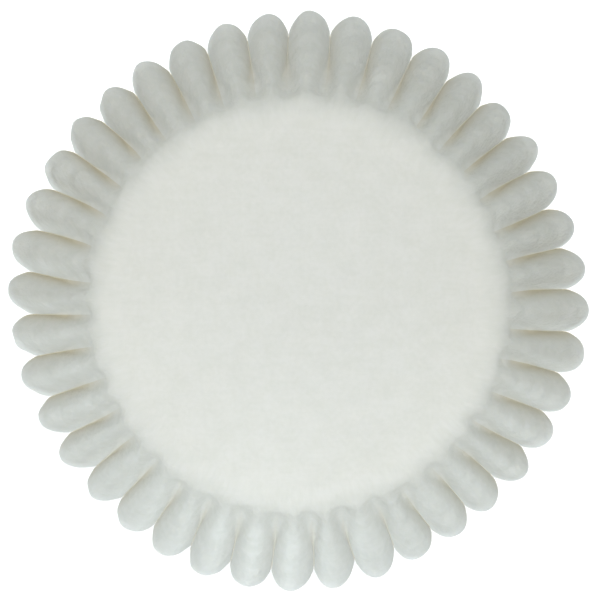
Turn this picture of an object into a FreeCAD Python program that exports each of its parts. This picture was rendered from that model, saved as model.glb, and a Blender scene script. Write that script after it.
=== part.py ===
# Cupcake liner: one disc of thin paper, pressed into a cup with a flat floor and a fluted, flaring wall.
# Sizes are in millimetres. The origin is the middle of the underside of the floor, with +Z up the wall.
#
# The wall is folded without stretch. Each flute stands on a straight crease of the floor. Its back is a flat
# triangle from that crease to the tip, with a fan of narrow flat strips round each shoulder and a flat flank
# that runs in to the fold. Every fold line starts at an end of a crease, so the flutes fade out at the floor.
import FreeCAD, Part
import math
import os

# Name, value and meaning of each driving dimension.
SIZES = (
    ("floor_diameter", 50.8, "floor, across two opposite creases, outside"),
    ("corner_radius", 3.7, "bend between the floor and the wall, outside"),
    ("wall_slant", 31.75, "paper from the crease up to the cut rim"),
    ("rim_diameter", 67.0, "over the tips of the flutes at the rim"),
    ("flute_depth", 2.8, "from tip to fold at the rim, outside"),
    ("flute_gap", 0.6, "between the backs of two neighbouring flutes at the rim"),
    ("flute_count", 40.0, "flutes round the wall"),
    ("flute_turn", -1.8, "angle from +X of the first flute's middle, in degrees"),
    ("paper", 0.06, "thickness of the paper"),
)

# Flat strips round each shoulder of a flute.
SHOULDER_STRIPS = 5

ORIGIN = FreeCAD.Vector(0, 0, 0)
UP = FreeCAD.Vector(0, 0, 1)
SIDEWAYS = FreeCAD.Vector(0, 1, 0)


def make_sheet(doc):
    """The spreadsheet of driving dimensions, one row each, with the name as the alias of its value."""
    sheet = doc.addObject("Spreadsheet::Sheet", "sizes")
    for row, (name, value, meaning) in enumerate(SIZES, start=1):
        sheet.set(f"A{row}", name)
        sheet.set(f"B{row}", str(value))
        sheet.set(f"C{row}", meaning)
        sheet.setAlias(f"B{row}", name)
    doc.recompute()
    return sheet


class Flute:
    """The +Y half of one flute in its own frame, with +X out through its middle. Inset is 0 outside the paper."""

    def __init__(self, sheet):
        self.count = round(sheet.flute_count)
        self.turn = sheet.flute_turn
        self.paper = sheet.paper
        self.corner_radius = sheet.corner_radius
        self.half_pitch = math.pi / self.count
        self.crease = sheet.floor_diameter / 2
        self.slant = sheet.wall_slant
        self.tip = sheet.rim_diameter / 2
        self.fold = self.tip - sheet.flute_depth
        # A back of this radius would touch both of its neighbours at the rim.
        touching = self.tip * math.sin(self.half_pitch) / (1 + math.sin(self.half_pitch))
        self.back_radius = touching - sheet.flute_gap / 2
        self.back_middle = self.tip - self.back_radius
        self.lean = math.atan2(self.rim_height(self.tip, 0), self.tip - self.crease)

    def rim_height(self, out, side):
        """Height of a point of the rim, which lies one slant from the end of its crease."""
        half_crease = self.crease * math.tan(self.half_pitch)
        return math.sqrt(self.slant**2 - (out - self.crease) ** 2 - (side - half_crease) ** 2)

    def bend_poles(self, inset):
        """The bend at the end of the crease: an arc from the floor to the wall's foot, stretched by the mitre."""
        half_lean = math.tan(self.lean / 2)
        reach = self.corner_radius * half_lean
        foot_out = self.crease + reach * math.cos(self.lean) - inset * math.sin(self.lean)
        foot_height = reach * math.sin(self.lean) + inset * math.cos(self.lean)
        middle_arc = (
            (self.crease - reach, inset),
            (self.crease - inset * half_lean, inset),
            (foot_out, foot_height),
        )
        return [FreeCAD.Vector(out, out * math.tan(self.half_pitch), height) for out, height in middle_arc]

    def shoulder_angle(self):
        """Angle from the tip round the back to where the flank leaves it, straight for the fold."""
        out = self.fold * math.cos(self.half_pitch) - self.back_middle
        side = self.fold * math.sin(self.half_pitch)
        return math.atan2(side, out) - math.acos(self.back_radius / math.hypot(out, side))

    def half_rim(self, inset):
        """Points of the rim from the tip round the shoulder, and then straight in to the fold."""
        shoulder = self.shoulder_angle()
        angles = [shoulder * step / SHOULDER_STRIPS for step in range(SHOULDER_STRIPS + 1)]
        points = []
        for radius in (self.back_radius, self.back_radius - inset):
            plan = [(self.back_middle + radius * math.cos(a), radius * math.sin(a)) for a in angles]
            out, side = plan[-1]
            past_fold_plane = out * math.sin(self.half_pitch) - side * math.cos(self.half_pitch)
            flank = past_fold_plane / math.cos(shoulder - self.half_pitch)
            plan.append((out - flank * math.sin(shoulder), side + flank * math.cos(shoulder)))
            points.append(plan)
        outside, wanted = points
        heights = [self.rim_height(out, side) for out, side in outside]
        return [FreeCAD.Vector(out, side, height) for (out, side), height in zip(wanted, heights)]


def flat_face(points):
    return Part.Face(Part.makePolygon([*points, points[0]]))


def mirrored(shape):
    """The same on the other half of the flute."""
    return shape.mirror(ORIGIN, SIDEWAYS)


def bend_face(flute, inset):
    """The round bend along one crease: a cylinder, cut off by the planes of the two folds."""
    surface = Part.BezierSurface()
    surface.increase(2, 1)
    weights = (1.0, math.cos(flute.lean / 2), 1.0)
    for row, (pole, weight) in enumerate(zip(flute.bend_poles(inset), weights), start=1):
        surface.setPole(row, 1, pole, weight)
        surface.setPole(row, 2, FreeCAD.Vector(pole.x, -pole.y, pole.z), weight)
    return surface.toShape()


def side_faces(flute, inset):
    """One side of the paper over one flute: the bend, the flat back, and each half's strips and flank."""
    foot = flute.bend_poles(inset)[2]
    rim = flute.half_rim(inset)
    strips = [flat_face([foot, *pair]) for pair in zip(rim, rim[1:])]
    back = flat_face([FreeCAD.Vector(foot.x, -foot.y, foot.z), foot, rim[0]])
    return [bend_face(flute, inset), back, *strips, *[mirrored(strip) for strip in strips]]


def cut_edge(flute):
    """The cut edge of the paper over one flute, ruled from its outside to its inside."""
    outside, inside = (flute.half_rim(inset) for inset in (0.0, flute.paper))
    lines = [[Part.makeLine(*pair) for pair in zip(rim, rim[1:])] for rim in (outside, inside)]
    faces = [Part.makeRuledSurface(*pair) for pair in zip(*lines)]
    return [*faces, *[mirrored(face) for face in faces]]


def pressed_paper(flute):
    """The whole liner as one closed solid: the flutes in a ring, and the two sides of the floor."""
    one_flute = Part.Compound(side_faces(flute, 0.0) + side_faces(flute, flute.paper) + cut_edge(flute))
    turns = [flute.turn + 360 * number / flute.count for number in range(flute.count)]
    faces = [face for turn in turns for face in one_flute.rotated(ORIGIN, UP, turn).Faces]
    for inset in (0.0, flute.paper):
        corner = Part.Vertex(flute.bend_poles(inset)[0])
        faces.append(flat_face([corner.rotated(ORIGIN, UP, turn).Point for turn in turns]))
    shell = Part.Shell(faces)
    shell.sewShape()
    solid = Part.Solid(shell)
    if solid.Volume < 0:
        solid.reverse()
    return solid


def main():
    doc = FreeCAD.newDocument("cupcake_liner")
    sheet = make_sheet(doc)
    liner = doc.addObject("Part::Feature", "liner")
    liner.Label = "liner"
    liner.Shape = pressed_paper(Flute(sheet))
    doc.recompute()
    for item in doc.Objects:
        if {"Invalid", "Error"} & set(item.State):
            raise RuntimeError(f"{item.Name} failed: {item.State}")
    shape = liner.Shape
    if shape.isNull() or not shape.isValid() or not shape.isClosed() or len(shape.Solids) != 1:
        raise RuntimeError("the liner is not one closed solid")
    os.makedirs("parts", exist_ok=True)
    shape.exportStep(f"parts/{liner.Label}.step")
    box = shape.BoundBox
    print(f"{liner.Label}: {box.XLength:.2f} x {box.YLength:.2f} x {box.ZLength:.2f} mm,"
          f" volume {shape.Volume:.1f} mm3, area {shape.Area:.0f} mm2, {len(shape.Faces)} faces")


main()
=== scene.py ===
"""Cupcake liner of thin greaseproof paper, pressed into a fluted cup, on a plain pale stage."""

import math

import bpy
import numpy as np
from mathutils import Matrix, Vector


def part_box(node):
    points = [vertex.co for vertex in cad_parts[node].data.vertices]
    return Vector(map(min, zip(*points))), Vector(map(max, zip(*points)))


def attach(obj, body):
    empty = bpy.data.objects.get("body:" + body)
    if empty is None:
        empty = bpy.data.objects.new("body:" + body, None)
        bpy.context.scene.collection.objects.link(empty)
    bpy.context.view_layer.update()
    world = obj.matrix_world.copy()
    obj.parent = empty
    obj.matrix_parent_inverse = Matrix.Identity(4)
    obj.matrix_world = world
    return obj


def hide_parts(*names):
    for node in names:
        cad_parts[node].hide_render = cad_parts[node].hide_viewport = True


bl_info = {
    "name": "Cupcake liner",
    "version": (1, 0, 0),
    "blender": (4, 5, 0),
    "location": "3D View > Sidebar > Liner",
    "description": "Builds a fluted paper cupcake liner in its packed frame, and a pale stage for it",
    "category": "Add Mesh",
}

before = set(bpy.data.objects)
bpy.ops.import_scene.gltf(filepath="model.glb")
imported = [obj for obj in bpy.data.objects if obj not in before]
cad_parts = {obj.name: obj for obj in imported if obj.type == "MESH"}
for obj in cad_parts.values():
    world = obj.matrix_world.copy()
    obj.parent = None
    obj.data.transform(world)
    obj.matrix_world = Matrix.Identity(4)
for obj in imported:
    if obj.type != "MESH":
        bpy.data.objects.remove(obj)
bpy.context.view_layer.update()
LINER_LOW, LINER_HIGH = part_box("liner")

MM = 0.001
# A last narrow strip of paper keeps the shading of the cut edge off the wall below it.
RIM_STRIP = 0.04 * MM
# Keeps a division by nothing finite.
NEARLY_NONE = 1e-6

# Places across half a flute: over its lobe, over its pinched flank and round its fold.
HALF_FLUTE = (8, 3, 4)
# Rows of the wall's grid, up the bend and up the straight wall.
BEND_ROWS, WALL_ROWS = 9, 33
# The rings of the flat floor, as shares of its edge's radius.
FLOOR_RINGS = (0.98, 0.94, 0.87, 0.75, 0.55, 0.3)
# The way up the wall where the folds start to be pinched, and over how much more of it they become so.
PINCH_START, PINCH_SPAN = 0.25, 0.6
# Paper over which a fold deepens, half of it on each side of its lower end.
FOLD_RISE = 8 * MM
# Paper over which the dent deepens from the floor's edge, and over which it ends at its upper crease.
DENT_RISE, DENT_LIP = 12 * MM, 1.3 * MM
# Spreads of the flutes' depths, sideways bends, places and leans, and of their tips' reach and bluntness.
DEPTH_SPREAD = 0.03
SWAY_SPREAD = math.radians(0.6)
DRIFT_SPREAD = math.radians(0.12)
LEAN_SPREAD = math.radians(0.2)
REACH_SPREAD = 0.1 * MM
BLUNT_SPREAD = 0.11 * MM
# Mean of the tips' lean, as a share of how much it varies round the ring.
LEAN_MEAN = 0.8
# Soft crumples of the wall: share of their height, and length of their waves.
CRUMPLES = ((1.0, 6.5 * MM), (0.4, 2.8 * MM))
# Length of the small bumps along the rim.
RAGGED_LENGTH = 2.0 * MM
# The crinkles' pattern runs up the wall at this share of the paper's length, so it is drawn out there.
CRINKLE_SHARE = 0.3
# The picture's side and the middle of the rim in it, in pixels from its left and top.
PICTURE = 600
RIM_IN_PICTURE = (298.3, 300.3)


class LinerSizes(bpy.types.PropertyGroup):
    """Sizes of the pressed cup."""

    floor_diameter: bpy.props.FloatProperty(
        name="Floor diameter", description="Across the floor, at the crease of the wall",
        default=50.8 * MM, unit="LENGTH")
    rim_diameter: bpy.props.FloatProperty(
        name="Rim diameter", description="Over the tips of the flutes at the rim",
        default=LINER_HIGH[0] - LINER_LOW[0], unit="LENGTH")
    wall_slant: bpy.props.FloatProperty(
        name="Wall slant", description="Paper from the crease of the floor up to the cut rim",
        default=31.75 * MM, unit="LENGTH")
    corner_radius: bpy.props.FloatProperty(
        name="Corner radius", description="Bend between the floor and the wall",
        default=3.7 * MM, unit="LENGTH")
    flute_count: bpy.props.IntProperty(
        name="Flutes", description="Number of flutes round the wall", default=40)
    flute_turn: bpy.props.FloatProperty(
        name="Flute turn", description="Angle from +X of the middle of the first flute",
        default=math.radians(-1.8), subtype="ANGLE")
    flank_angle: bpy.props.FloatProperty(
        name="Flank angle", description="Direction of a flute's flank at the rim, next to the pinched paper",
        default=math.radians(65), subtype="ANGLE")
    pinch_angle: bpy.props.FloatProperty(
        name="Pinch angle", description="Direction of the paper that is pinched together at the rim",
        default=math.radians(90), subtype="ANGLE")
    fold_share: bpy.props.FloatProperty(
        name="Fold share", description="Share of a flute's paper that turns in its folds at the rim",
        default=0.006, subtype="FACTOR")
    pinch_share: bpy.props.FloatProperty(
        name="Pinch share", description="Share of a flute's paper that is pinched together at the rim",
        default=0.16, subtype="FACTOR")
    paper: bpy.props.FloatProperty(
        name="Paper", description="Thickness of the paper", default=0.06 * MM, unit="LENGTH")


class LinerWear(bpy.types.PropertyGroup):
    """What the press and handling did to the even ring of flutes."""

    square: bpy.props.FloatProperty(
        name="Square", description="How far the rim stands out at its four corners",
        default=0.38 * MM, unit="LENGTH")
    square_turn: bpy.props.FloatProperty(
        name="Square turn", description="Angle from +X of the first corner of the rim",
        default=math.radians(81), subtype="ANGLE")
    drift: bpy.props.FloatProperty(
        name="Drift", description="How far the flutes crowd towards one side of the rim",
        default=math.radians(0.7), subtype="ANGLE")
    drift_turn: bpy.props.FloatProperty(
        name="Drift turn", description="Angle from +X where the flutes have drifted furthest",
        default=math.radians(245), subtype="ANGLE")
    lean: bpy.props.FloatProperty(
        name="Lean", description="How much the clockwise lean of the flutes' tips varies round the ring",
        default=math.radians(0.35), subtype="ANGLE")
    lean_turn: bpy.props.FloatProperty(
        name="Lean turn", description="Angle from +X where the tips lean furthest",
        default=math.radians(215), subtype="ANGLE")
    start: bpy.props.FloatProperty(
        name="Flute start", description="Mean distance of the folds' lower ends above the bend of the floor",
        default=0.8 * MM, unit="LENGTH")
    start_spread: bpy.props.FloatProperty(
        name="Start spread", description="How much further up or down single folds end",
        default=2.0 * MM, unit="LENGTH")
    crumple: bpy.props.FloatProperty(
        name="Crumple", description="Height of the soft crumples in the wall",
        default=0.09 * MM, unit="LENGTH")
    dent_turn: bpy.props.FloatProperty(
        name="Dent turn", description="Angle from +X of the flute whose foot is dented",
        default=math.radians(69.7), subtype="ANGLE")
    dent: bpy.props.FloatProperty(
        name="Dent",
        description="How far the foot of the dented flute is pushed in, to the line of the folds",
        default=0.22, subtype="FACTOR")
    dent_crease: bpy.props.FloatProperty(
        name="Dent crease", description="Distance of the dent's upper crease above the floor's edge",
        default=17.0 * MM, unit="LENGTH")
    ragged: bpy.props.FloatProperty(
        name="Ragged", description="Height of the small bumps along the cut rim",
        default=0.07 * MM, unit="LENGTH")
    unevenness: bpy.props.FloatProperty(
        name="Unevenness", description="Spread of the flutes' places, depths and leans",
        default=1.0, subtype="FACTOR")
    seed: bpy.props.IntProperty(
        name="Seed", description="Seed of the uneven flutes", default=7)


class LinerLook(bpy.types.PropertyGroup):
    """Colours and finish of the paper."""

    paper_colour: bpy.props.FloatVectorProperty(
        name="Paper", description="Colour of the paper", size=3, subtype="COLOR",
        default=(0.76, 0.76, 0.735))
    cloud_colour: bpy.props.FloatVectorProperty(
        name="Clouds", description="Colour of the denser clouds of fibre in the paper", size=3,
        subtype="COLOR", default=(0.72, 0.725, 0.69))
    # The crease colour is the folds' own browner tint, and it is also painted shade beside the folds on the
    # flanks turned away from the windows.
    crease_and_shade_colour: bpy.props.FloatVectorProperty(
        name="Creases", description="Colour of the paper along the pressed folds", size=3,
        subtype="COLOR", default=(0.57, 0.50, 0.35))
    roughness: bpy.props.FloatProperty(
        name="Roughness", description="Roughness of the paper", default=0.72, subtype="FACTOR")


class LinerStage(bpy.types.PropertyGroup):
    """Camera, lamps and floor."""

    camera_distance: bpy.props.FloatProperty(
        name="Camera distance", description="From the camera to the middle of the rim",
        default=0.5, unit="LENGTH")
    camera_elevation: bpy.props.FloatProperty(
        name="Camera elevation", description="Angle of the view above the horizon",
        default=math.radians(89), subtype="ANGLE")
    view_width: bpy.props.FloatProperty(
        name="View width", description="Width of the picture at the height of the rim",
        default=69.8 * MM, unit="LENGTH")
    floor_colour: bpy.props.FloatVectorProperty(
        name="Floor", description="Colour of the stage floor", size=3, subtype="COLOR",
        default=(0.9, 0.9, 0.9))
    floor_white: bpy.props.FloatProperty(
        name="Floor white", description="How much whiter the camera sees the stage floor",
        default=0.36, subtype="FACTOR")
    sky_strength: bpy.props.FloatProperty(
        name="Sky", description="Strength of the even light from all round", default=0.72)
    overhead_power: bpy.props.FloatProperty(
        name="Overhead", description="Power of the wide lamp above the cup", default=4.1, unit="POWER")
    window_power: bpy.props.FloatProperty(
        name="Windows", description="Power of each of the two low lamps behind the cup",
        default=1.4, unit="POWER")
    fill_power: bpy.props.FloatProperty(
        name="Fill", description="Power of the wide lamp in front of the cup", default=0.3, unit="POWER")


def smooth(value):
    """Nothing below 0, 1 above 1, and an S of a cube and a square between them."""
    part = np.clip(value, 0.0, 1.0)
    return part * part * (3 - 2 * part)


def wall_lean(sizes):
    """Lean of the wall from the horizontal: its cosine is the growth of the radius divided by the slant."""
    return math.acos((sizes.rim_diameter - sizes.floor_diameter) / 2 / sizes.wall_slant)


def floor_edge(sizes):
    """Radius of the flat floor, inside the crease by the reach of the bend."""
    return sizes.floor_diameter / 2 - sizes.corner_radius * math.tan(wall_lean(sizes) / 2)


def disc_radius(sizes):
    """Radius of the flat disc of paper: the flat floor, the arc of the bend and the straight wall."""
    lean = wall_lean(sizes)
    return floor_edge(sizes) + sizes.corner_radius * (lean - math.tan(lean / 2)) + sizes.wall_slant


def meridian(sizes, place):
    """The line of the flutes' tips, as radius, height and slope, at each radius of the flat disc.

    It is flat over the floor, turns up round an arc of the corner's radius, and runs on straight.
    """
    edge, lean = floor_edge(sizes), wall_lean(sizes)
    slope = np.clip((place - edge) / sizes.corner_radius, 0.0, lean)
    straight = np.maximum(place - edge - sizes.corner_radius * lean, 0.0)
    radius = np.minimum(place, edge) + sizes.corner_radius * np.sin(slope) + straight * math.cos(lean)
    height = sizes.corner_radius * (1 - np.cos(slope)) + straight * math.sin(lean)
    return radius, height, slope


def flute_share(sizes):
    """Places across one flute's paper, from -0.5 at one fold to 0.5 at the next, closer at the folds."""
    lobe_places, pinch_places, fold_places = HALF_FLUTE
    fold = 0.5 - sizes.fold_share / 2
    flank = fold - sizes.pinch_share / 2
    lobe = np.linspace(0.0, flank, lobe_places)
    pinch = np.linspace(flank, fold, pinch_places)[1:]
    turn = np.linspace(fold, 0.5, fold_places)[1:]
    half = np.concatenate([lobe, pinch, turn])
    return np.concatenate([-half[:0:-1], half])


def flute_direction(sizes, share, up):
    """Direction of the paper across a flute, a row for each way up the wall from 0 at its foot to 1.

    It is a quarter sine wave from the tip to the flank, rises smoothly to the pinched paper, and turns back
    through a quarter cosine wave at the fold. The flank's angle grows with the square root of the way up
    near the foot and levels off near the rim, as it does on paper that is pressed without stretch. The folds
    are narrow and pinched at the rim, and the flutes are plain sine waves at the foot.
    """
    crisp = smooth((up - PINCH_START) / PINCH_SPAN)
    fold = 0.25 + crisp * (0.25 - sizes.fold_share / 2)
    pinched = crisp * sizes.pinch_share / 2
    flank = fold - pinched
    away = np.abs(share)
    angle = sizes.flank_angle * np.sqrt(1 - (1 - up) ** 3)
    lobe = angle * np.sin(math.pi / 2 * np.minimum(away / flank, 1.0))
    steeper = smooth((away - flank) / np.maximum(pinched / 2, NEARLY_NONE))
    steeper = crisp * (sizes.pinch_angle - sizes.flank_angle) * steeper
    turn = np.cos(math.pi / 2 * np.clip((away - fold) / (0.5 - fold), 0.0, 1.0))
    return np.sign(share) * (lobe + steeper) * turn


def flute_sections(sizes, share, up, radius):
    """Sideways place, as a share of the pitch, and depth of one flute's paper, a row for each height.

    They are the sums of the cosine and the sine of the paper's direction, from the tip outwards.
    """
    finer = 16
    steps = np.arange(len(share))
    fine_share = np.interp(np.arange(finer * (len(share) - 1) + 1) / finer, steps, share)
    half = len(fine_share) // 2
    direction = flute_direction(sizes, fine_share, up[:, None])

    def summed(values):
        middles = (values[:, 1:] + values[:, :-1]) / 2 * np.diff(fine_share)
        total = np.concatenate([np.zeros((len(values), 1)), np.cumsum(middles, axis=1)], axis=1)
        return total - total[:, half:half + 1]

    sideways = summed(np.cos(direction))
    width = 2 * sideways[:, -1:]
    pitch = 2 * math.pi / sizes.flute_count * radius[:, None]
    return (sideways / width)[:, ::finer], (summed(np.sin(direction)) / width * pitch)[:, ::finer]


def ring_noise(rng, count, place):
    """A smooth line through one random value from -1 to 1 at each fold, with place counted in folds."""
    values = rng.uniform(-1.0, 1.0, count)
    before = np.floor(place).astype(int)
    blend = smooth(place - before)
    return values[before % count] * (1 - blend) + values[(before + 1) % count] * blend


def crumples(rng, flat, length):
    """Soft random waves over the flat disc: a sum of sines of one wave length in random directions."""
    waves = 14
    turn, start = rng.uniform(0.0, 2 * math.pi, (2, waves))
    way = np.stack([np.cos(turn), np.sin(turn)]) * 2 * math.pi / length
    return np.sin(flat @ way + start).sum(axis=-1) / math.sqrt(waves)


def fold_tint_and_painted_shade(even, across, up, from_fold):
    """How much the paper has the colour of its folds, from 0 to 1. This is partly their own browner tint and
    partly painted shade.

    The flank of each flute that faces away from +Y, the far side where the windows are, has a band of
    painted shade beside the fold. It is a bell curve of the distance from the fold, and it widens and grows
    stronger up the wall. A narrow, weaker bell curve runs along both sides of every fold. It is the folds'
    own browner tint, with painted shade in the creases. Both fade out before they reach the floor.
    """
    far_share, least = 0.25, 0.08
    # Painted shade: the band is strongest on the flank turned away from the windows at +Y, weaker at the top
    # of the ring, and least at its bottom.
    shaded = np.clip(np.sign(across) * np.cos(even) + far_share * np.sin(even), least, 1.0)
    low_band, band_growth = 0.8, 1.2
    band = np.exp(-(from_fold / ((low_band + band_growth * up) * MM)) ** 2)
    painted_shade_band = shaded * band * smooth(up * 1.5 - 0.1)
    # The narrow line is the folds' own browner tint, with painted shade in the creases beside them.
    line_width, line_share = 0.3 * MM, 0.4
    return painted_shade_band + (1 - painted_shade_band) * line_share * np.exp(-(from_fold / line_width) ** 2) * smooth(up * 1.6 - 0.3)


def pressed_wall(sizes, wear):
    """Places of the pressed wall as a grid of rows from the floor's edge to the rim and columns round it.

    Each point lies on the meridian, moved in across the paper by the depth of its flute's section there.
    That depth grows smoothly from nothing round the lower end of its fold. Seeded noise moves the flutes
    round the ring and their tips in and out. A straight ramp pushes the foot of the dented flute in, up to
    a crease. The rim stands out at four corners by a cosine wave, and is ragged at its left. Sums of sine
    waves crumple the wall, from its foot upwards.

    Returns the points, their places on the flat disc, and how much they have the colour of the folds, which
    is their own tint and painted shade.
    """
    rng = np.random.default_rng(wear.seed)
    edge, rim = floor_edge(sizes), disc_radius(sizes)
    foot = edge + sizes.corner_radius * wall_lean(sizes)
    wall_rows = np.linspace(foot, rim - RIM_STRIP, WALL_ROWS)
    place = np.concatenate([np.linspace(edge, foot, BEND_ROWS)[:-1], wall_rows, [rim]])
    up = (place - edge) / (rim - edge)
    radius, height, slope = meridian(sizes, place)
    share = flute_share(sizes)
    sideways, inwards = flute_sections(sizes, share, up, radius)
    share, sideways, inwards = share[:-1], sideways[:, :-1], inwards[:, :-1]

    count = sizes.flute_count
    pitch = 2 * math.pi / count
    numbers = np.repeat(np.arange(count), len(share))
    across = np.tile(share, count)
    even = sizes.flute_turn + pitch * (numbers + across)
    fold_place = numbers + across + 0.5
    tip = np.cos(math.pi * across)
    up, radius, height, slope, place = (row[:, None] for row in (up, radius, height, slope, place))
    inwards = np.tile(inwards, (1, count))
    angle = sizes.flute_turn + pitch * (numbers + np.tile(sideways, (1, count)))
    flat = place[..., None] * np.stack([np.cos(even), np.sin(even)], axis=-1)

    def each_flute():
        return rng.uniform(-1.0, 1.0, count)[numbers]

    spread = wear.unevenness
    starts = wear.start + wear.start_spread * ring_noise(rng, count, fold_place)
    depths = 1 + spread * DEPTH_SPREAD * ring_noise(rng, count, fold_place)
    inwards = inwards * depths * smooth((place - foot - starts) / FOLD_RISE + 0.5)
    sway = spread * SWAY_SPREAD * ring_noise(rng, count, fold_place)
    drift = wear.drift * np.cos(even - wear.drift_turn)
    drift = drift + spread * DRIFT_SPREAD * ring_noise(rng, count, fold_place)
    lean = wear.lean * (LEAN_MEAN + np.cos(even - wear.lean_turn)) + spread * LEAN_SPREAD * each_flute()
    angle = angle + up * (drift - lean * tip) + sway * np.sin(math.pi * up)

    away = np.abs((even - wear.dent_turn + math.pi) % (2 * math.pi) - math.pi)
    pushed = np.minimum((place - edge) / DENT_RISE, (edge + wear.dent_crease - place) / DENT_LIP)
    pushed = wear.dent * np.clip(pushed, 0.0, 1.0) * (away < pitch / 2)
    inwards = inwards + pushed * (inwards.max(axis=1, keepdims=True) - inwards)

    reach = wear.square * np.cos(4 * (even - wear.square_turn)) + spread * REACH_SPREAD * each_flute() * tip
    blunt = spread * BLUNT_SPREAD * each_flute() * np.cos(3 * math.pi * across)
    at_left_rim = up**6 * smooth(0.3 - np.cos(even))
    ragged = wear.ragged * at_left_rim * crumples(rng, flat, RAGGED_LENGTH)
    radius = radius + up * (reach - blunt) + ragged
    off_floor = smooth(up * 6)
    for height_share, length in CRUMPLES:
        inwards = inwards + off_floor * height_share * wear.crumple * crumples(rng, flat, length)

    out = radius - np.sin(slope) * inwards
    points = np.stack([out * np.cos(angle), out * np.sin(angle), height + np.cos(slope) * inwards], axis=-1)
    from_fold = (0.5 - np.abs(across)) * place * pitch
    return points, flat, fold_tint_and_painted_shade(even, across, up, from_fold)


def floor_faces(edge_ring):
    """Closes the flat floor inside its edge. Each ring has half the columns of the one outside it.

    Returns the new points, and triangles that count the edge's ring first. Every second point of a ring has
    its neighbour on the next ring straight inside it, and the last ring is closed by a fan.
    """
    points, triangles = [], []
    start, ring = 0, edge_ring
    for share in FLOOR_RINGS:
        columns = len(ring)
        pair = np.arange(columns // 2)
        outer, between, outer_after = (start + (2 * pair + step) % columns for step in (0, 1, 2))
        inner = start + columns + pair
        inner_after = start + columns + (pair + 1) % (columns // 2)
        triangles += [(inner, between, outer), (inner, inner_after, between)]
        triangles.append((inner_after, outer_after, between))
        start, ring = start + columns, edge_ring[::len(edge_ring) * 2 // columns] * (share, share, 1.0)
        points.append(ring)
    column = np.arange(len(ring))
    middle = np.full(len(ring), start + len(ring))
    triangles.append((start + (column + 1) % len(ring), start + column, middle))
    points.append(ring[:1] * (0.0, 0.0, 1.0))
    return np.concatenate(points), np.concatenate([np.stack(corners, axis=-1) for corners in triangles])


def liner_mesh(sizes, wear):
    """The outside of the paper as one mesh: the grid of the wall, and the rings of the floor inside it.

    One UV map holds each point's place on the flat disc. In the other one the wall is drawn in towards the
    floor's edge. The attribute says how much a point has the colour of the folds, their own browner tint and
    painted shade beside them.
    """
    wall, wall_flat, wall_fold_tint_and_shade = pressed_wall(sizes, wear)
    rows, columns = wall.shape[:2]
    floor, triangles = floor_faces(wall[0])
    first_wall = columns + len(floor)
    row = first_wall + columns * np.arange(-1, rows - 2)[:, None]
    row[0] = 0
    row_after = first_wall + columns * np.arange(rows - 1)[:, None]
    column = np.arange(columns)
    after = (column + 1) % columns
    quads = np.stack([row + column, row + after, row_after + after, row_after + column], axis=-1)

    points = np.concatenate([wall[0], floor, wall[1:].reshape(-1, 3)])
    flat = np.concatenate([wall[0][:, :2], floor[:, :2], wall_flat[1:].reshape(-1, 2)])
    fold = np.concatenate([np.zeros(first_wall), wall_fold_tint_and_shade[1:].ravel()])
    mesh = bpy.data.meshes.new("liner_paper")
    mesh.from_pydata(points, [], [*quads.reshape(-1, 4).tolist(), *triangles.tolist()])
    corner_vertex = np.empty(len(mesh.loops), dtype=np.int64)
    mesh.loops.foreach_get("vertex_index", corner_vertex)
    away = np.linalg.norm(flat, axis=1, keepdims=True)
    edge = floor_edge(sizes)
    shorter = np.minimum(away, edge) + CRINKLE_SHARE * np.maximum(away - edge, 0.0)
    crinkled = flat * shorter / np.maximum(away, NEARLY_NONE)
    for name, places in (("flat_disc", flat), ("crinkles", crinkled)):
        on_disc = places / (2 * disc_radius(sizes)) + 0.5
        mesh.uv_layers.new(name=name).data.foreach_set("uv", on_disc[corner_vertex].ravel())
    # The fold attribute carries the folds' own tint and painted shade beside them.
    mesh.attributes.new("fold", "FLOAT", "POINT").data.foreach_set("value", fold)
    mesh.shade_smooth()
    return mesh


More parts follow.
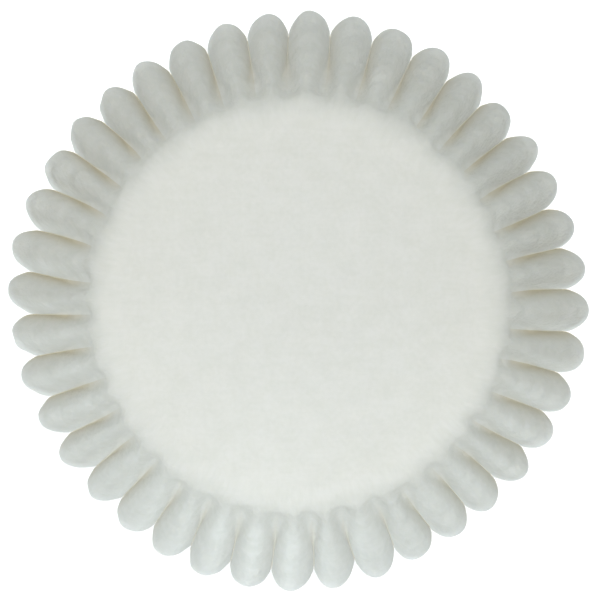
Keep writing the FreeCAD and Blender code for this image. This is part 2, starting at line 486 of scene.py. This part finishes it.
def paper_material(look, disc, floor):
    """Greaseproof paper: clouds of fibre, grain, faint drawn streaks, and a warmer, darker colour at the
    folds, which is partly their own tint and partly painted shade.

    Disc and floor are the diameters of the flat disc and of the flat floor. The grain stands out more in the
    pressed wall than on the floor.
    """
    cloud_scale, streak_scale, grain_scale = 0.35, 0.5, 1.7
    drawn_out = (0.25, 2.2, 1.0)
    into_wall, grain_on_floor, grain_on_wall = 6.0, 1.5, 8.0
    thin, dense = 0.9, 1.4
    material = bpy.data.materials.new("baking_paper")
    material.use_nodes = True
    tree = material.node_tree
    nodes, links = tree.nodes, tree.links
    nodes.clear()
    output = nodes.new("ShaderNodeOutputMaterial")
    shader = nodes.new("ShaderNodeBsdfPrincipled")
    links.new(shader.outputs["BSDF"], output.inputs["Surface"])
    shader.inputs["Roughness"].default_value = look.roughness
    shader.inputs["Specular IOR Level"].default_value = 0.3
    shader.inputs["Subsurface Weight"].default_value = 0.12
    shader.inputs["Subsurface Radius"].default_value = (1.0, 0.9, 0.7)
    shader.inputs["Subsurface Scale"].default_value = 0.08 * MM

    def in_mm(name):
        flat = nodes.new("ShaderNodeUVMap")
        flat.uv_map = name
        from_middle = nodes.new("ShaderNodeMapping")
        from_middle.inputs["Scale"].default_value = (disc / MM, disc / MM, 1.0)
        from_middle.inputs["Location"].default_value = (-disc / MM / 2, -disc / MM / 2, 0.0)
        links.new(flat.outputs["UV"], from_middle.inputs["Vector"])
        return from_middle.outputs["Vector"]

    on_disc, on_crinkles = in_mm("flat_disc"), in_mm("crinkles")

    def noise(vector, scale, detail, stretch=(1.0, 1.0, 1.0)):
        place = nodes.new("ShaderNodeMapping")
        place.inputs["Scale"].default_value = stretch
        texture = nodes.new("ShaderNodeTexNoise")
        texture.inputs["Scale"].default_value = scale
        texture.inputs["Detail"].default_value = detail
        links.new(vector, place.inputs["Vector"])
        links.new(place.outputs["Vector"], texture.inputs["Vector"])
        return texture.outputs["Fac"]

    def ranged(value, low, high, to_low=0.0, to_high=1.0):
        node = nodes.new("ShaderNodeMapRange")
        node.inputs["From Min"].default_value = low
        node.inputs["From Max"].default_value = high
        node.inputs["To Min"].default_value = to_low
        node.inputs["To Max"].default_value = to_high
        links.new(value, node.inputs["Value"])
        return node.outputs["Result"]

    def mixed(amount, first, second):
        node = nodes.new("ShaderNodeMix")
        node.data_type = "RGBA"
        links.new(amount, node.inputs["Factor"])
        for name, colour in (("A", first), ("B", second)):
            socket = next(s for s in node.inputs if s.name == name and s.type == "RGBA")
            if isinstance(colour, bpy.types.NodeSocket):
                links.new(colour, socket)
            else:
                socket.default_value = (*colour, 1.0)
        return next(s for s in node.outputs if s.type == "RGBA")

    def summed(first, second, share):
        node = nodes.new("ShaderNodeMath")
        node.operation = "MULTIPLY_ADD"
        node.inputs[1].default_value = share
        links.new(second, node.inputs[0])
        links.new(first, node.inputs[2])
        return node.outputs["Value"]

    distance = nodes.new("ShaderNodeVectorMath")
    distance.operation = "LENGTH"
    links.new(on_disc, distance.inputs[0])
    edge = floor / MM / 2
    pressed = ranged(distance.outputs["Value"], edge, edge + into_wall, grain_on_floor, grain_on_wall)
    clouds = noise(on_disc, cloud_scale, detail=4.0)
    streaks = noise(on_disc, streak_scale, detail=3.0, stretch=drawn_out)
    grain = noise(on_crinkles, grain_scale, detail=2.0)
    # The fold attribute mixes in the crease colour. This is the folds' own tint, and painted shade on the
    # flanks turned away from the windows.
    fold = nodes.new("ShaderNodeAttribute")
    fold.attribute_name = "fold"
    fibres = summed(summed(clouds, grain, share=0.8), streaks, share=0.5)
    cloudy = mixed(ranged(fibres, thin, dense), look.paper_colour, look.cloud_colour)
    creased_and_shaded = mixed(fold.outputs["Fac"], cloudy, look.crease_and_shade_colour)
    links.new(creased_and_shaded, shader.inputs["Base Color"])

    crumpled = nodes.new("ShaderNodeMath")
    crumpled.operation = "MULTIPLY_ADD"
    links.new(grain, crumpled.inputs[0])
    links.new(pressed, crumpled.inputs[1])
    links.new(summed(clouds, streaks, share=0.6), crumpled.inputs[2])
    bump = nodes.new("ShaderNodeBump")
    bump.inputs["Strength"].default_value = 0.5
    bump.inputs["Distance"].default_value = 0.06 * MM
    links.new(crumpled.outputs["Value"], bump.inputs["Height"])
    links.new(bump.outputs["Normal"], shader.inputs["Normal"])
    return material


class PressLiner(bpy.types.Operator):
    """Press the disc of paper into the fluted cup"""

    bl_idname = "liner.press_paper"
    bl_label = "Press the liner"

    def execute(self, context):
        scene = context.scene
        sizes, wear, look = scene.liner_sizes, scene.liner_wear, scene.liner_look
        piece = bpy.data.objects.new("liner_paper", liner_mesh(sizes, wear))
        scene.collection.objects.link(piece)
        paper = piece.modifiers.new("paper", "SOLIDIFY")
        paper.thickness = sizes.paper
        paper.offset = -1
        piece.data.materials.append(paper_material(look, 2 * disc_radius(sizes), 2 * floor_edge(sizes)))
        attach(piece, "root")
        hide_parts("liner")
        return {"FINISHED"}


def floor_material(colour, white):
    """Pale floor that the camera sees as white where nothing shades it."""
    material = bpy.data.materials.new("stage_floor")
    material.use_nodes = True
    tree = material.node_tree
    nodes, links = tree.nodes, tree.links
    nodes.clear()
    output = nodes.new("ShaderNodeOutputMaterial")
    shader = nodes.new("ShaderNodeBsdfPrincipled")
    shader.inputs["Base Color"].default_value = (*colour, 1.0)
    shader.inputs["Roughness"].default_value = 0.9
    shader.inputs["Emission Color"].default_value = (1.0, 1.0, 1.0, 1.0)
    rays = nodes.new("ShaderNodeLightPath")
    seen = nodes.new("ShaderNodeMath")
    seen.operation = "MULTIPLY"
    seen.inputs[1].default_value = white
    links.new(rays.outputs["Is Camera Ray"], seen.inputs[0])
    links.new(seen.outputs["Value"], shader.inputs["Emission Strength"])
    links.new(shader.outputs["BSDF"], output.inputs["Surface"])
    return material


def sky_world(strength):
    """Even cool light from all round, which the camera sees as plain white."""
    cool, white = (0.875, 0.945, 1.0, 1.0), (1.0, 1.0, 1.0, 1.0)
    world = bpy.data.worlds.new("sky")
    world.use_nodes = True
    nodes, links = world.node_tree.nodes, world.node_tree.links
    nodes.clear()
    output = nodes.new("ShaderNodeOutputWorld")
    rays = nodes.new("ShaderNodeLightPath")
    light = nodes.new("ShaderNodeBackground")
    light.inputs["Color"].default_value = cool
    light.inputs["Strength"].default_value = strength
    seen = nodes.new("ShaderNodeBackground")
    seen.inputs["Color"].default_value = white
    seen.inputs["Strength"].default_value = 1.0
    either = nodes.new("ShaderNodeMixShader")
    links.new(rays.outputs["Is Camera Ray"], either.inputs["Fac"])
    links.new(light.outputs["Background"], either.inputs[1])
    links.new(seen.outputs["Background"], either.inputs[2])
    links.new(either.outputs["Shader"], output.inputs["Surface"])
    return world


def aim(item, target):
    """Turns a lamp or camera at the target by its rotation."""
    item.rotation_euler = (target - item.location).to_track_quat("-Z", "Y").to_euler()


def add_lamp(scene, name, place, target, width, power, colour):
    """A square area lamp of that width, facing the target."""
    lamp = bpy.data.lights.new(name, "AREA")
    lamp.size = width
    lamp.energy = power
    lamp.color = colour
    item = bpy.data.objects.new(name, lamp)
    item.location = place
    scene.collection.objects.link(item)
    aim(item, target)


class SetLinerStage(bpy.types.Operator):
    """Set the camera, the lamps, the sky and the floor"""

    bl_idname = "liner.set_stage"
    bl_label = "Set the stage"

    def execute(self, context):
        scene = context.scene
        stage = scene.liner_stage
        half, below = 2.0, -0.05 * MM
        mesh = bpy.data.meshes.new("stage_floor")
        corners = [(-half, -half, below), (half, -half, below), (half, half, below), (-half, half, below)]
        mesh.from_pydata(corners, [], [(0, 1, 2, 3)])
        mesh.materials.append(floor_material(stage.floor_colour, stage.floor_white))
        floor = bpy.data.objects.new("stage_floor", mesh)
        scene.collection.objects.link(floor)
        scene.world = sky_world(stage.sky_strength)

        rim = Vector((0.0, 0.0, LINER_HIGH[2]))
        warm, cool = (1.0, 0.965, 0.91), (0.82, 0.925, 1.0)
        add_lamp(scene, "overhead", Vector((0.0, 0.04, 1.0)), rim, 0.5, stage.overhead_power, warm)
        add_lamp(scene, "left_window", Vector((-0.22, 0.63, 0.4)), rim, 0.3, stage.window_power, cool)
        add_lamp(scene, "right_window", Vector((0.45, 0.53, 0.4)), rim, 0.3, stage.window_power, cool)
        add_lamp(scene, "fill", Vector((0.45, -0.45, 0.4)), rim, 0.5, stage.fill_power, warm)

        camera = bpy.data.cameras.new("camera")
        item = bpy.data.objects.new("camera", camera)
        scene.collection.objects.link(item)
        elevation = stage.camera_elevation
        back = Vector((0.0, -math.cos(elevation), math.sin(elevation)))
        pixel = stage.view_width / PICTURE
        across, down = (PICTURE / 2 - middle for middle in RIM_IN_PICTURE)
        target = rim + Vector((across * pixel, -down * pixel, 0.0))
        item.location = target + back * stage.camera_distance
        aim(item, target)
        camera.sensor_width = 36.0
        camera.lens = camera.sensor_width * stage.camera_distance / stage.view_width
        camera.clip_start = 0.01
        camera.clip_end = 10.0
        scene.camera = item
        scene.view_settings.view_transform = "Standard"
        return {"FINISHED"}


class LinerPanel(bpy.types.Panel):
    """Lists the liner's operators and sizes."""

    bl_idname = "VIEW3D_PT_liner"
    bl_label = "Cupcake liner"
    bl_space_type = "VIEW_3D"
    bl_region_type = "UI"
    bl_category = "Liner"

    def draw(self, context):
        layout = self.layout
        for operator in (PressLiner, SetLinerStage):
            layout.operator(operator.bl_idname)
        for name in GROUPS:
            group = getattr(context.scene, name)
            for key in group.bl_rna.properties.keys():
                if key not in ("rna_type", "name"):
                    layout.prop(group, key)


GROUPS = {
    "liner_sizes": LinerSizes,
    "liner_wear": LinerWear,
    "liner_look": LinerLook,
    "liner_stage": LinerStage,
}
CLASSES = (*GROUPS.values(), PressLiner, SetLinerStage, LinerPanel)


def register():
    for cls in CLASSES:
        bpy.utils.register_class(cls)
    for name, group in GROUPS.items():
        setattr(bpy.types.Scene, name, bpy.props.PointerProperty(type=group))


def unregister():
    for name in GROUPS:
        delattr(bpy.types.Scene, name)
    for cls in reversed(CLASSES):
        bpy.utils.unregister_class(cls)


def main():
    register()
    bpy.ops.liner.press_paper()
    bpy.ops.liner.set_stage()


if __name__ == "__main__":
    main()
